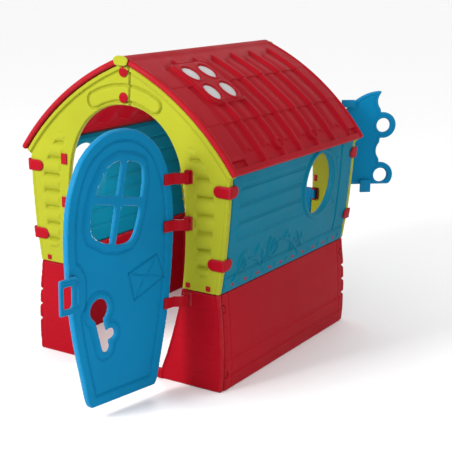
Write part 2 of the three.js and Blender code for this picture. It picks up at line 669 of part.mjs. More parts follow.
// Corner clips on the upper walls, plates on the back base and hook ends on the sides of the front base.
const clips = {
  corner: toGeometry(cornerClip()),
  plate: toGeometry(clipPlate(-CLIP.thickness)),
  button: toGeometry(clipButton()),
};
for (const { name, side, end, colour } of CORNERS) {
  CLIP_Z.forEach((z, i) => {
    const onBase = z < WAIST_Z;
    const line = onBase ? BASE_CORNER : WALL_CORNER;
    const baseClip = end > 0 ? clips.plate : clips.button;
    const below = halfWidthAt(line, z - CLIP.height / 2);
    const above = halfWidthAt(line, z + CLIP.height / 2);
    const clip = piece(house, `clip_${name}_${CLIP_LEVELS[i]}`, onBase ? baseClip : clips.corner, colour);
    const out = Math.max(halfWidthAt(line, z), (below + above) / 2) + CLIP.stand;
    const lean = Math.atan2(above - below, CLIP.height);
    clip.position.set(side * out, end * WALL_Y, z);
    const upsideDown = (side > 0) === (end > 0);
    const turn = new THREE.Matrix4().makeRotationY(upsideDown ? -lean : lean);
    const flip = new THREE.Matrix4().makeRotationZ(side < 0 ? Math.PI : 0);
    if (upsideDown) {
      flip.multiply(new THREE.Matrix4().makeRotationX(Math.PI));
    }
    clip.rotation.setFromRotationMatrix(flip.multiply(turn));
  });
}

CAP.z.forEach((z, i) => {
  const level = i === 0 ? 'upper' : 'lower';
  const capGeometry = toGeometry(gableCap());
  piece(house, `front_cap_${level}`, capGeometry, 'red').position.set(0, -WALL_Y, z);
  const back = piece(house, `back_cap_${level}`, capGeometry, 'red');
  back.position.set(0, WALL_Y, z);
  back.rotation.z = Math.PI;
});

// The origin is under the middle of the playhouse as it stands, doors and shutters open.
house.updateMatrixWorld(true);
const extent = new THREE.Box3().setFromObject(house, true);
const centre = extent.getCenter(new THREE.Vector3());
const playhouse = new THREE.Group();
playhouse.add(house);
house.position.set(-centre.x, -centre.y, -extent.min.z);

export default playhouse;
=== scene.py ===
"""Looks of a moulded plastic playhouse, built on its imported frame.

Metres, +Z up, front door towards -Y. Shapes are drawn in the house frame, whose Z axis goes up through
the middle of the house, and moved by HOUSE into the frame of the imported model.
"""
import json
import math

import bmesh
import bpy
import numpy as np
from mathutils import Matrix, Vector
from mathutils.geometry import delaunay_2d_cdt


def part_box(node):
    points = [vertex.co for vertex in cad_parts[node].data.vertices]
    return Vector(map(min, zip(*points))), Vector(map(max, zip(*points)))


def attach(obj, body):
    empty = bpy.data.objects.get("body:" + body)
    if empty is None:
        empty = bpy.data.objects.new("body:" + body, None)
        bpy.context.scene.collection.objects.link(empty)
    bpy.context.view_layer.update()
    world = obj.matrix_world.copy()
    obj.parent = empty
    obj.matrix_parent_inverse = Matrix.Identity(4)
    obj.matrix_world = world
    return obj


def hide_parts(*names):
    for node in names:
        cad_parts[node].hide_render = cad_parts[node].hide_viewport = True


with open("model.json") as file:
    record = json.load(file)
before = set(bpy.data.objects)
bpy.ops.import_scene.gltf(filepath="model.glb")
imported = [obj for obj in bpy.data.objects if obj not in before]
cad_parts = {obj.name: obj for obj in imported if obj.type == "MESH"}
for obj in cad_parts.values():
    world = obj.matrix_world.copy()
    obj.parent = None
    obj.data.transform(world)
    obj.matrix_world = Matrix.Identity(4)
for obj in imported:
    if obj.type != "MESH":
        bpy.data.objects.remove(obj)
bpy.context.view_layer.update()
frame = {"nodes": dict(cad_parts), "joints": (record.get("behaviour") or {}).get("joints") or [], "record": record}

# ------------ driving dimensions
base_low, base_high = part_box("front_base")
back_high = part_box("back_base")[1]
HOUSE = Vector(((base_low.x + base_high.x) / 2, (base_low.y + back_high.y) / 2, 0))
WALL_Y = (back_high.y - base_low.y) / 2       # outer face of the front and back walls
WALL = base_high.y - base_low.y               # panel thickness
WAIST_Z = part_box("side_wall_right")[0].z      # bottom of the upper walls
JOINTS = {joint["name"]: joint for joint in frame["joints"]}
DOOR_OPEN = -JOINTS["front_door_hinge"]["range_deg"][0]
SHUTTER_OPEN = JOINTS["shutter_right_hinge"]["range_deg"][1]

# Half-width of the house at a height
BASE_CORNER = np.array([[0, .392], [.05, .396], [.15, .396], [.25, .390], [.30, .383], [.34, .379]])
WALL_CORNER = np.array([[.34, .381], [.40, .390], [.45, .399], [.52, .406], [.62, .414], [.735, .420]])

ROOF_AXIS_X = -.3335                          # axis and radius of the right-hand roof
ROOF_AXIS_Z = .2017
ROOF_RADIUS = .957
RIDGE_ANGLE = math.acos(-ROOF_AXIS_X / ROOF_RADIUS)
EAVE = .576                                   # distance from the ridge to the eave along the roof
ROOF_Y = .476
WINDOW_Y = .175
WINDOW_Z = .612
WINDOW_ACROSS = .110
WINDOW_UP = .114
DOOR_FACE = .020                              # from the hinge line to the face of a closed leaf
HINGE_OUT = .014                              # from the outer face of an end wall to its hinge lines
HINGE_X = .262                                # hinge lines to either side of the middle

BRICK = .057                                  # height of a course of bricks on the bases
PLANK = .0585                                 # height of a plank on the side walls
PLANK_Z = .43                                 # middle of one plank
PLANK_HALF = .0293                            # from there to its groove
PEG = .016                                    # square pegs in a row along the foot of a side wall
PEG_Y = -.385                                 # the first of them
PEG_Z = .365
PEG_PITCH = .083
PEG_COUNT = 10
END_PEG = .017                                # square pegs along the foot of a gable wall
END_PEG_X = (.26, .34)
END_PEG_Z = .357
PEG_ROUND = .0022

FINE = .003           # finest spacing of a panel's mesh
EDGE_STEP = 1.4 * FINE                        # spacing along a panel's edge
EDGE_CLEAR = .55 * EDGE_STEP                  # no inner point is nearer to the edge
COARSE = 8                                    # coarsest spacing, in steps of the finest; a power of two
TOLERANCE = .00012                            # how far a panel's mesh may stray from its relief
SMALLEST_HOLE = .0008                         # area; smaller holes are covered by hardware


def show(item):
    bpy.context.scene.collection.objects.link(item)


# ------------ camera
CAMERA = Vector((2.166, -3.309, 1.429))       # in the house frame
YAW = .547
PITCH = .248
ROLL = .017
camera_data = bpy.data.cameras.new("camera")
camera = bpy.data.objects.new("camera", camera_data)
show(camera)
camera.matrix_world = (Matrix.Translation(CAMERA + HOUSE) @ Matrix.Rotation(YAW, 4, "Z")
                       @ Matrix.Rotation(math.pi / 2 - PITCH, 4, "X") @ Matrix.Rotation(ROLL, 4, "Z"))
camera_data.sensor_width = 36
camera_data.lens = 85.7
camera_data.shift_x = -.0158
camera_data.clip_end = 200
bpy.context.scene.camera = camera
bpy.context.scene.view_settings.view_transform = "Standard"   # shows the plastics' own colours


# ------------ materials
PALE = .40                                    # how far a pale edge goes towards white: partly rubbed wear, partly a painted highlight


def plastic(name, colour, roughness=.38, variation=.07, wear_and_highlight=.08, coat=0):
    """Moulded plastic: slow colour variation, pale edges that are partly rubbed wear and partly a painted
    highlight, fine pebble grain and scuffed gloss.
    """
    material = bpy.data.materials.new(name)
    material.use_nodes = True
    nodes = material.node_tree.nodes
    links = material.node_tree.links
    shader = nodes["Principled BSDF"]
    shader.inputs["Coat Weight"].default_value = coat
    shader.inputs["Coat Roughness"].default_value = .20
    shader.inputs["Specular IOR Level"].default_value = .04
    place = nodes.new("ShaderNodeTexCoord")

    def noise(scale, detail):
        node = nodes.new("ShaderNodeTexNoise")
        node.inputs["Scale"].default_value = scale
        node.inputs["Detail"].default_value = detail
        links.new(place.outputs["Object"], node.inputs["Vector"])
        return node.outputs["Fac"]

    def spread(value, low, high, to_low, to_high):
        node = nodes.new("ShaderNodeMapRange")
        for socket, number in zip(node.inputs[1:5], (low, high, to_low, to_high)):
            socket.default_value = number
        links.new(value, node.inputs[0])
        return node.outputs[0]

    tone = nodes.new("ShaderNodeHueSaturation")
    tone.inputs["Color"].default_value = (*colour, 1)
    links.new(spread(noise(scale=3.5, detail=3), .3, .7, 1 - variation, 1 + variation), tone.inputs["Value"])
    links.new(spread(noise(scale=1.3, detail=2), .3, .7, 1 - variation / 12, 1), tone.inputs["Saturation"])

    # Convex edges are painted paler towards white: partly rubbed wear, partly a painted highlight along rims and
    # crests.
    geometry = nodes.new("ShaderNodeNewGeometry")
    rubbed_and_highlit = nodes.new("ShaderNodeMath")
    rubbed_and_highlit.operation = "MULTIPLY"
    links.new(spread(geometry.outputs["Pointiness"], .53, .62, 0, wear_and_highlight), rubbed_and_highlit.inputs[0])
    links.new(spread(noise(scale=60, detail=4), .35, .65, .3, 1), rubbed_and_highlit.inputs[1])
    worn_and_highlit = nodes.new("ShaderNodeMix")
    worn_and_highlit.data_type = "RGBA"
    pale = [channel + (1 - channel) * PALE for channel in colour]
    worn_and_highlit.inputs["B"].default_value = (*pale, 1)
    links.new(rubbed_and_highlit.outputs[0], worn_and_highlit.inputs["Factor"])
    links.new(tone.outputs[0], worn_and_highlit.inputs["A"])
    links.new(worn_and_highlit.outputs["Result"], shader.inputs["Base Color"])

    scuffed = spread(noise(scale=14, detail=6), .3, .7, roughness - .06, roughness + .08)
    links.new(scuffed, shader.inputs["Roughness"])
    bump = nodes.new("ShaderNodeBump")
    bump.inputs["Strength"].default_value = .12
    bump.inputs["Distance"].default_value = .0004
    links.new(noise(scale=420, detail=2), bump.inputs["Height"])
    links.new(bump.outputs[0], shader.inputs["Normal"])
    return material


def clear_plastic(name):
    """Frosted pane of clear plastic with a fine pebbled face."""
    material = plastic(name, (.60, .58, .58), roughness=.30, variation=.10, wear_and_highlight=.05, coat=.3)
    shader = material.node_tree.nodes["Principled BSDF"]
    shader.inputs["Transmission Weight"].default_value = .25
    shader.inputs["IOR"].default_value = 1.49
    material.node_tree.nodes["Bump"].inputs["Strength"].default_value = .5
    return material


MATERIALS = {
    "red_plastic": plastic("red_plastic", (.315, .002, .009)),
    "yellow_plastic": plastic("yellow_plastic", (.320, .334, .018)),
    "blue_plastic": plastic("blue_plastic", (.001, .172, .355)),
    "wall_blue_plastic": plastic("wall_blue_plastic", (.001, .150, .235), roughness=.42),
    "clear_plastic": clear_plastic("clear_plastic"),
    "lime_plastic": plastic("lime_plastic", (.300, .450, .030)),
}


# ------------ mesh helpers
def add_piece(name, mesh, slot, body, *nodes, sharp=40):
    """A mesh given in the house frame becomes a piece that stands for some CAD nodes and rides on a body."""
    mesh.transform(Matrix.Translation(HOUSE))
    mesh.shade_smooth()
    mesh.set_sharp_from_angle(angle=math.radians(sharp))
    mesh.materials.append(MATERIALS[slot])
    piece = bpy.data.objects.new(name, mesh)
    show(piece)
    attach(piece, body)
    if nodes:
        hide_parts(*nodes)
    return piece


def to_mesh(name, bm):
    bmesh.ops.recalc_face_normals(bm, faces=bm.faces)
    mesh = bpy.data.meshes.new(name)
    bm.to_mesh(mesh)
    bm.free()
    return mesh


def same_side(mesh, name):
    """A plain copy. It is called as half_turn is."""
    return mesh.copy()


def half_turn(mesh, name):
    """A copy of a mesh in the house frame, turned half a turn about the Z axis."""
    copy = mesh.copy()
    copy.name = name
    copy.transform(Matrix.Rotation(math.pi, 4, "Z"))
    return copy


SIDES = (("right", same_side), ("left", half_turn))   # everything on the left is the right turned about


def joined(name, meshes):
    bm = bmesh.new()
    for mesh in meshes:
        bm.from_mesh(mesh)
    mesh = bpy.data.meshes.new(name)
    bm.to_mesh(mesh)
    bm.free()
    return mesh


def rounded_block(size, centre, radius, segments=3):
    bm = bmesh.new()
    bmesh.ops.create_cube(bm, size=1)
    bmesh.ops.scale(bm, vec=size, verts=bm.verts)
    bmesh.ops.bevel(bm, geom=list(bm.edges), offset=radius, segments=segments, profile=.5, affect="EDGES")
    bmesh.ops.transform(bm, matrix=Matrix.Translation(centre), verts=bm.verts)
    return to_mesh("block", bm)


# ------------ panels
def line_distance(points, line):
    """Distance of each point from an open line."""
    best = np.full(len(points), math.inf)
    for start, end in zip(line[:-1], line[1:]):
        along = end - start
        share = np.clip(((points - start) @ along) / max(along @ along, 1e-12), 0, 1)
        gap = points - start - share[:, None] * along
        best = np.minimum(best, np.einsum("ij,ij->i", gap, gap))
    return np.sqrt(best)


def distance(points, loops):
    """Distance of each point from the nearest edge of some closed loops."""
    return np.min([line_distance(points, np.vstack([loop, loop[:1]])) for loop in loops], axis=0)


def inside(points, loops):
    """Whether each point lies inside an odd number of closed loops."""
    odd = np.zeros(len(points), bool)
    for loop in loops:
        for (u0, v0), (u1, v1) in zip(loop, np.roll(loop, -1, axis=0)):
            if v0 == v1:
                continue
            crosses = (v0 > points[:, 1]) != (v1 > points[:, 1])
            odd ^= crosses & (points[:, 0] < u0 + (points[:, 1] - v0) * (u1 - u0) / (v1 - v0))
    return odd


def area(loop):
    after = np.roll(loop, -1, axis=0)
    return abs(np.sum(loop[:, 0] * after[:, 1] - loop[:, 1] * after[:, 0])) / 2


ON_FACE = .0006                               # a CAD vertex this near the outer face lies on it


def cad_loops(node, flatten):
    """Outlines of a CAD node's outer face. flatten turns house-frame points into (u, v, depth)."""
    mesh = frame["nodes"][node].data
    places = np.array([vertex.co - HOUSE for vertex in mesh.vertices])
    keys = {}
    merged = [keys.setdefault(tuple(np.round(place, 5)), len(keys)) for place in places]
    flat = flatten(np.array(list(keys)))
    edges = {}
    for polygon in mesh.polygons:
        corners = [merged[index] for index in polygon.vertices]
        if np.abs(flat[corners, 2]).max() > ON_FACE:
            continue
        for start, end in zip(corners, corners[1:] + corners[:1]):
            if (end, start) in edges:
                del edges[(end, start)]
            else:
                edges[(start, end)] = True
    after = {start: end for start, end in edges}
    loops = []
    while after:
        start, place = after.popitem()
        loop = [start]
        while place != start:
            loop.append(place)
            place = after.pop(place)
        loops.append(flat[loop, :2])
    loops = [loop for loop in loops if area(loop) > SMALLEST_HOLE]
    return sorted(loops, key=area, reverse=True)


def eased(loop, rounds=2):
    """A loop spaced evenly and with its corners slightly rounded."""
    closed = np.vstack([loop, loop[:1]])
    lengths = np.hypot(*np.diff(closed, axis=0).T)
    along = np.concatenate([[0], np.cumsum(lengths)])
    count = max(12, int(along[-1] / EDGE_STEP))
    marks = np.linspace(0, along[-1], count, endpoint=False)
    even = np.stack([np.interp(marks, along, closed[:, axis]) for axis in (0, 1)], 1)
    for _ in range(rounds):
        even = (np.roll(even, 1, axis=0) + 2 * even + np.roll(even, -1, axis=0)) / 4
    return even


def skin(loops, edges, relief):
    """Triangles over a panel's face, finer where its relief bends. The edges' points come first."""
    spots = np.vstack(loops)
    low = spots.min(0)
    cells = (np.ceil((spots.max(0) - low) / (COARSE * FINE)).astype(int)) * COARSE
    us = low[0] + FINE * np.arange(cells[0] + 1)
    vs = low[1] + FINE * np.arange(cells[1] + 1)
    grid = np.stack(np.meshgrid(us, vs, indexing="ij"), -1).reshape(-1, 2)
    from_edge = distance(grid, loops)
    height = relief(grid, from_edge).reshape(cells + 1)
    bend = np.zeros_like(height)
    bend[1:-1] = np.abs(height[2:] - 2 * height[1:-1] + height[:-2])
    bend[:, 1:-1] = np.maximum(bend[:, 1:-1], np.abs(height[:, 2:] - 2 * height[:, 1:-1] + height[:, :-2]))
    keep = np.zeros(height.shape, bool)
    keep[::COARSE, ::COARSE] = True
    for level in (COARSE, COARSE // 2, COARSE // 4):
        blocks = bend[:-1, :-1].reshape(cells[0] // level, level, cells[1] // level, level).max(axis=(1, 3))
        rough = np.kron(blocks * level ** 2 / 8 > TOLERANCE, np.ones((level, level), bool))
        wanted = np.zeros(height.shape, bool)
        wanted[:-1, :-1] |= rough
        wanted[1:, 1:] |= rough
        step = level // 2
        allowed = np.zeros(height.shape, bool)
        allowed[::step, ::step] = True
        keep |= wanted & allowed
    chosen = keep.ravel() & (from_edge > EDGE_CLEAR)
    inner = grid[chosen]
    inner = inner[inside(inner, loops)]
    points = np.vstack([*edges, inner])
    lines = []
    start = 0
    for edge in edges:
        count = len(edge)
        lines += [(start + i, start + (i + 1) % count) for i in range(count)]
        start += count
    places, _, faces, origins, _, _ = delaunay_2d_cdt([Vector(p) for p in points], lines, [], 1, 1e-7)
    where = {}
    for index, sources in enumerate(origins):
        for source in sources:
            where[source] = index
    flat = np.array([tuple(place) for place in places])
    triangles = np.array(faces)
    if len(edges) > 1:
        middle = flat[triangles].mean(1)
        triangles = triangles[~inside(middle, edges[1:])]
    return flat, triangles, [where[i] for i in range(start)]


def fillet(from_edge, radius):
    """How far a rounded edge falls away at a distance from the edge."""
    left = np.clip(1 - from_edge / radius, 0, 1)
    return radius * (1 - np.sqrt(1 - left ** 2))


def slab(name, loops, place, front, back, thickness=WALL, radius=.005, rounds=2):
    """A closed panel. place(points, depth) puts flat points in the house frame; depth goes into the panel."""
    edges = [eased(loop, rounds) for loop in loops]
    bm = bmesh.new()
    rims = []
    for face_relief, is_back in ((front, False), (back, True)):
        def height(points, from_edge):
            return face_relief(points, from_edge) - fillet(from_edge, radius)
        flat, triangles, rim = skin(loops, edges, height)
        from_edge = distance(flat, loops)
        from_edge[rim] = 0
        rise = height(flat, from_edge)
        depth = thickness + rise if is_back else -rise
        vertices = [bm.verts.new(tuple(p)) for p in place(flat, depth)]
        for a, b, c in triangles:
            bm.faces.new((vertices[a], vertices[b], vertices[c]))
        rims.append([vertices[i] for i in rim])
    start = 0
    for edge in edges:
        count = len(edge)
        for i in range(count):
            j = start + (i + 1) % count
            bm.faces.new((rims[0][start + i], rims[0][j], rims[1][j], rims[1][start + i]))
        start += count
    loose = [vertex for vertex in bm.verts if not vertex.link_faces]
    bmesh.ops.delete(bm, geom=loose, context="VERTS")
    return to_mesh(name, bm)


# A relief gives how far a panel's face stands out at flat points. Most of its terms are a height times a
# ramp, of how far inside a feature a point lies and the width of its slope, or a depth times a groove, of
# how far from a line it lies and the channel's half-width.
def ramp(value, width):
    """0 below zero, 1 above width, smooth between."""
    share = np.clip(value / width, 0, 1)
    return share * share * (3 - 2 * share)


def groove(gap, width):
    """A rounded channel round a line, 1 deep."""
    return np.clip(1 - (gap / width) ** 2, 0, 1)


def plain(points, from_edge):
    return np.zeros(len(points))


def course_gap(height):
    """Distance from the nearest joint between two courses of bricks."""
    return np.abs((height + BRICK / 2) % BRICK - BRICK / 2)


def plank_gap(height):
    """Distance from the nearest groove in the planks."""
    return np.abs((height - PLANK_Z) % PLANK - PLANK_HALF)


# ------------ ways to place a flat drawing
def end_place(points, depth):
    return np.stack([points[:, 0], -WALL_Y + depth, points[:, 1]], 1)


def end_flat(places):
    return np.stack([places[:, 0], places[:, 2], places[:, 1] + WALL_Y], 1)


def side_place(corner):
    def place(points, depth):
        out = np.interp(points[:, 1], corner[:, 0], corner[:, 1])
        return np.stack([out - depth, points[:, 0], points[:, 1]], 1)
    return place


def side_flat(corner):
    def flatten(places):
        out = np.interp(places[:, 2], corner[:, 0], corner[:, 1])
        return np.stack([places[:, 1], places[:, 2], places[:, 0] - out], 1)
    return flatten


def raised(place, lift):
    """The same placing, moved outwards."""
    def lifted(points, depth):
        return place(points, depth - lift)
    return lifted


def roof_place(points, depth):
    angle = RIDGE_ANGLE - points[:, 1] / ROOF_RADIUS
    radius = ROOF_RADIUS - depth
    across = ROOF_AXIS_X + radius * np.cos(angle)
    up = ROOF_AXIS_Z + radius * np.sin(angle)
    return np.stack([across, points[:, 0], up], 1)


def roof_flat(places):
    across = places[:, 0] - ROOF_AXIS_X
    up = places[:, 2] - ROOF_AXIS_Z
    along = (RIDGE_ANGLE - np.arctan2(up, across)) * ROOF_RADIUS
    return np.stack([places[:, 1], along, np.hypot(across, up) - ROOF_RADIUS], 1)


def leaf_frame(joint_name, closed_deg):
    """Matrix that turns a closed leaf, drawn in the house frame, to where it is at rest."""
    pivot = Vector(JOINTS[joint_name]["pos_m"]) - HOUSE
    return (Matrix.Translation(pivot) @ Matrix.Rotation(math.radians(-closed_deg), 4, "Z")
            @ Matrix.Translation(-pivot))


def leaf_flat(turn, face_y, outward):
    back = np.array(turn.inverted())

    def flatten(places):
        closed = places @ back[:3, :3].T + back[:3, 3]
        return np.stack([closed[:, 0], closed[:, 2], (closed[:, 1] - face_y) * outward], 1)
    return flatten


def leaf_place(turn, face_y, outward):
    forward = np.array(turn)

    def place(points, depth):
        closed = np.stack([points[:, 0], face_y - outward * depth, points[:, 1]], 1)
        return closed @ forward[:3, :3].T + forward[:3, 3]
    return place


# ------------ front and back walls
ROOF_THICK = .021
UNDER_ROOF = np.array([roof_place(np.array([[0, down]]), np.array([ROOF_THICK]))[0][[0, 2]]
                       for down in np.linspace(0, EAVE, 12)])
RIM_LINE = np.vstack([UNDER_ROOF[::-1] * [-1, 1], UNDER_ROOF])
PLAQUE = np.array([[-.124, .942], [-.09, .958], [-.045, .971], [0, .9755], [.045, .971], [.09, .958],
                   [.124, .942]])
PLAQUE_HALF = .027
LOG_EDGES = np.array([.392, .426, .484, .543, .602, .661, .722, .780, .822])
LOG_INNER = np.array([[.392, .300], [.42, .288], [.50, .284], [.66, .282], [.72, .276], [.76, .264],
                      [.822, .252]])
LOG_OUTER = np.array([[.392, .340], [.42, .346], [.50, .358], [.60, .366], [.66, .366], [.70, .358],
                      [.76, .330], [.822, .284]])
LOG_RISE = .0170
LOG_SUNK = .0135
LOG_SHAPE = .75                               # 1 is a parabola, .5 is round

DOORWAY = np.array([[.033, .150], [.10, .175], [.20, .205], [.30, .229], [.34, .236]])   # height, half-width

NOTCH_Z = (.115, .172, .228)
NOTCH_HALF = .007
NOTCH_DEPTH = .011
NOTCH_TO_X = -.35                             # only the edge beyond this is notched
SEAM_X = .023
SEAM_OPEN = .0010
SEAM_NEAR = .002                              # an edge this near SEAM_X, and this long, lies on the seam
SEAM_LONG = .02

KNOB_Z = 1.067                                # ridge knob: its lower end, its shoulder and its back face
KNOB_SHOULDER_Z = 1.085
KNOB_BACK_Y = -.4763
KNOB_SIDES = ((.028, .45), (.020, .80), (.010, .97))   # half-width at a share of the way from shoulder to top
FLUTE = .0085


def log_relief(points):
    """Half-round logs one above another in a sunk strip beside the doorway."""
    across = np.abs(points[:, 0])
    height = points[:, 1]
    level = np.clip(np.searchsorted(LOG_EDGES, height) - 1, 0, len(LOG_EDGES) - 2)
    half = (LOG_EDGES[level + 1] - LOG_EDGES[level]) / 2
    offset = np.clip(np.abs(height - LOG_EDGES[level] - half) / half, 0, 1)
    bulge = (1 - offset ** 2) ** LOG_SHAPE
    end = np.interp(height, *LOG_OUTER.T) - .008 * (1 - bulge)
    start = np.interp(height, *LOG_INNER.T)
    within = ramp(across - start, .010) * ramp(end - across, .010)
    within *= ramp(height - LOG_EDGES[0], .006) * ramp(LOG_EDGES[-1] - height, .012)
    return within * (LOG_RISE * bulge - LOG_SUNK)


def gable_relief(points, from_edge):
    below = line_distance(points, RIM_LINE)
    rim = .0050 * ramp(.019 - below, .004) - .0040 * groove(below - .0215, .005)
    pill = line_distance(points, PLAQUE) - PLAQUE_HALF
    plaque = -.0075 * groove(pill, .0055) + .0022 * ramp(-pill, .012)
    corner = np.interp(points[:, 1], *WALL_CORNER.T) - np.abs(points[:, 0])
    flange = -.0020 * groove(corner - .016, .0035) * (points[:, 1] < .72)
    return rim + plaque + log_relief(points) + flange


def base_relief(points, from_edge):
    across = np.abs(points[:, 0])
    outer = ramp(across - .20, .02)
    corner = np.interp(points[:, 1], *BASE_CORNER.T) - across
    bricks = -.0011 * groove(course_gap(points[:, 1]), .0032) * outer * (points[:, 1] > .03)
    opening = np.interp(points[:, 1], *DOORWAY.T)
    lip = .0045 * ramp(.010 - (across - opening), .004) * (across > opening - .01)
    flange = -.0020 * groove(corner - .016, .0035)
    return bricks + lip + flange


def notched(loop):
    """Cuts V notches into one outer edge of a base's outline, level with the brick courses."""
    result = []
    for start, end in zip(loop, np.roll(loop, -1, axis=0)):
        result.append(start)
        low, high = sorted((start[1], end[1]))
        if max(start[0], end[0]) > NOTCH_TO_X:
            continue
        way = 1 if end[1] > start[1] else -1
        for level in sorted(NOTCH_Z, reverse=way < 0):
            if low < level - NOTCH_HALF and level + NOTCH_HALF < high:
                for offset, cut in ((-NOTCH_HALF, 0), (0, NOTCH_DEPTH), (NOTCH_HALF, 0)):
                    height = level + way * offset
                    out = np.interp(height, *BASE_CORNER.T) - cut
                    result.append([-out, height])
    return np.array(result)


def seamed(loop):
    """The joint between the two halves of a gable wanders a little and stands open a little."""
    result = []
    for start, end in zip(loop, np.roll(loop, -1, axis=0)):
        result.append(start)
        off_seam = max(abs(start[0] - SEAM_X), abs(end[0] - SEAM_X))
        if off_seam > SEAM_NEAR or abs(start[1] - end[1]) < SEAM_LONG:
            continue
        away = math.copysign(SEAM_OPEN, start[0] - SEAM_X)
        count = int(abs(end[1] - start[1]) / .004)
        for share in np.linspace(0, 1, count)[1:-1]:
            height = start[1] + (end[1] - start[1]) * share
            wander = .0013 * math.sin(height / .0046) * math.sin(height / .013)
            result.append([SEAM_X + away + wander, height])
    return np.array(result)


def bell(top):
    """The fluted knob that covers the end of the ridge, on a stem under the roof."""
    rise = top - KNOB_SHOULDER_Z
    right = [(.021, KNOB_Z), (.026, 1.074), (.031, KNOB_SHOULDER_Z)]
    right += [(x, KNOB_SHOULDER_Z + share * rise) for x, share in KNOB_SIDES]
    loop = np.array([*right, (0, top), *[(-x, z) for x, z in reversed(right)]])
    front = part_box("front_gable_left")[0].y - HOUSE.y

    def flutes(points, from_edge):
        """They fan out from the knob's lower end."""
        fanned = points[:, 0] / (.45 + 16 * (points[:, 1] - KNOB_Z))
        return -.0016 * np.abs(np.sin(fanned / FLUTE * math.pi / 2)) * ramp(from_edge - .002, .004)

    head = slab("knob", [loop], raised(end_place, -WALL_Y - front), flutes, plain,
                thickness=KNOB_BACK_Y - front, radius=.003, rounds=1)
    stem = rounded_block((.028, .043, .0056), (0, -.457, 1.068), .0012)
    return joined("knob", [head, stem])


def build_ends():
    outlines = [notched(loop) for loop in cad_loops("front_base", end_flat)]
    base = slab("base", outlines, end_place, base_relief, plain, rounds=1)
    add_piece("look_front_base", base.copy(), "red_plastic", "house", "front_base")
    add_piece("look_back_base", half_turn(base, "back_base"), "red_plastic", "house", "back_base")
    for side, name, opposite in ((-1, "left", "right"), (1, "right", "left")):
        loops = [seamed(loop) for loop in cad_loops(f"front_gable_{name}", end_flat)]
        gable = slab(f"gable_{name}", loops, end_place, gable_relief, plain)
        front = back = gable
        if side < 0:
            front, back = [joined("gable", [gable, bell(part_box(node)[1].z)])
                           for node in ("front_gable_left", "back_gable_right")]
        add_piece(f"look_front_gable_{name}", front.copy(), "yellow_plastic", "house", f"front_gable_{name}")
        turned = half_turn(back, f"back_gable_{opposite}")
        add_piece(f"look_back_gable_{opposite}", turned, "yellow_plastic", "house", f"back_gable_{opposite}")
        tabs = [rounded_block((END_PEG, .006, END_PEG), (side * x, -WALL_Y - .0005, END_PEG_Z), PEG_ROUND)
                for x in END_PEG_X]
        pegs = joined("pegs", tabs)
        add_piece(f"pegs_front_{name}", pegs.copy(), "red_plastic", "house", sharp=60)
        add_piece(f"pegs_back_{opposite}", half_turn(pegs, "pegs"), "red_plastic", "house", sharp=60)


# ------------ side walls
def spiral(centre, radius, turns, start, steps=40):
    angles = np.linspace(0, 2 * math.pi * turns, steps) + start
    reach = radius * (1 - np.linspace(0, .78, steps))
    return np.stack([centre[0] + reach * np.cos(angles), centre[1] + reach * np.sin(angles)], 1)


def arch(start, end, rise, steps=16):
    share = np.linspace(0, 1, steps)[:, None]
    straight = np.array(start) * (1 - share) + np.array(end) * share
    return straight + np.array([0, 1]) * rise * 4 * share * (1 - share)


# A plain pattern of stems, leaves and curls in low relief
STEMS = [
    spiral((-.33, .425), radius=.040, turns=1.2, start=1.0),
    spiral((-.13, .440), radius=.046, turns=1.3, start=2.2),
    spiral((.02, .405), radius=.030, turns=1.1, start=0.4),
    arch((-.39, .375), (-.20, .385), rise=.05),
    arch((-.20, .385), (.06, .378), rise=.07),
    arch((.04, .455), (.12, .395), rise=-.02),
]
# y, z and how far each leaf is turned
LEAVES = [(-.245, .455, .9), (-.20, .425, 2.0), (-.045, .465, .7), (-.01, .445, 2.3), (.075, .425, 1.2)]


def window_gap(points):
    """About how far a point lies outside the oval window."""
    along, height = points.T
    reach = np.hypot((along - WINDOW_Y) / WINDOW_ACROSS, (height - WINDOW_Z) / WINDOW_UP)
    return (reach - 1) * (WINDOW_ACROSS + WINDOW_UP) / 2


def side_relief(points, from_edge):
    along, height = points.T
    course = plank_gap(height)
    window = window_gap(points)
    near_window = ramp(window - .030, .01)
    field = ramp(along + .405, .02) * ramp(.325 - along, .02) * ramp(height - .50, .03)
    planks = -.0056 * groove(course, .008) * field * near_window
    planks += .0022 * np.cos(course / PLANK_HALF * math.pi / 2) * field * near_window
    rim = .0065 * ramp(.020 - window, .006)
    post = -.0045 * groove(along - .345, .008) * ramp(height - .39, .01)
    ledge = .0022 * ramp(.392 - height, .004) - .0030 * groove(height - .396, .004)
    between = np.abs((along - PEG_Y) % PEG_PITCH - PEG_PITCH / 2)
    ledge += .0022 * ramp(.011 - between, .003) * ramp(.008 - np.abs(height - PEG_Z), .003)
    stems = plain(points, from_edge)
    for line in STEMS:
        stems = np.maximum(stems, groove(line_distance(points, line), .006))
    for at_y, at_z, turn in LEAVES:
        u = (along - at_y) * math.cos(turn) + (height - at_z) * math.sin(turn)
        v = -(along - at_y) * math.sin(turn) + (height - at_z) * math.cos(turn)
        stems = np.maximum(stems, np.clip(1.2 - (u / .024) ** 2 - (v / .011) ** 2, 0, 1))
    return planks + rim + post + ledge + .0052 * stems * near_window


def side_back(points, from_edge):
    return -.0045 * groove(plank_gap(points[:, 1]), .007) * ramp(window_gap(points) - .016, .010)


HOOK_Y = .435                                 # hook ends of the base's clips, in small pockets
HOOK_Z = (.288, .058)
SIDE_BASE_END = .4417                         # half the length of a side base


def side_base_relief(points, from_edge):
    along, height = points.T
    ledge = .0045 * ramp(.107 - height, .006) - .0030 * groove(height - .050, .004)
    for level in HOOK_Z:
        reach = np.hypot((np.abs(along) - HOOK_Y) / .0115, (height - level) / .0165)
        ledge -= .0060 * ramp(1 - reach, .25)
    corner = -.0028 * groove(course_gap(height), .005) * ramp(.012 - (SIDE_BASE_END - np.abs(along)), .006)
    panel_edge = -.0016 * groove(.405 - np.abs(along), .004)
    return ledge + corner + panel_edge


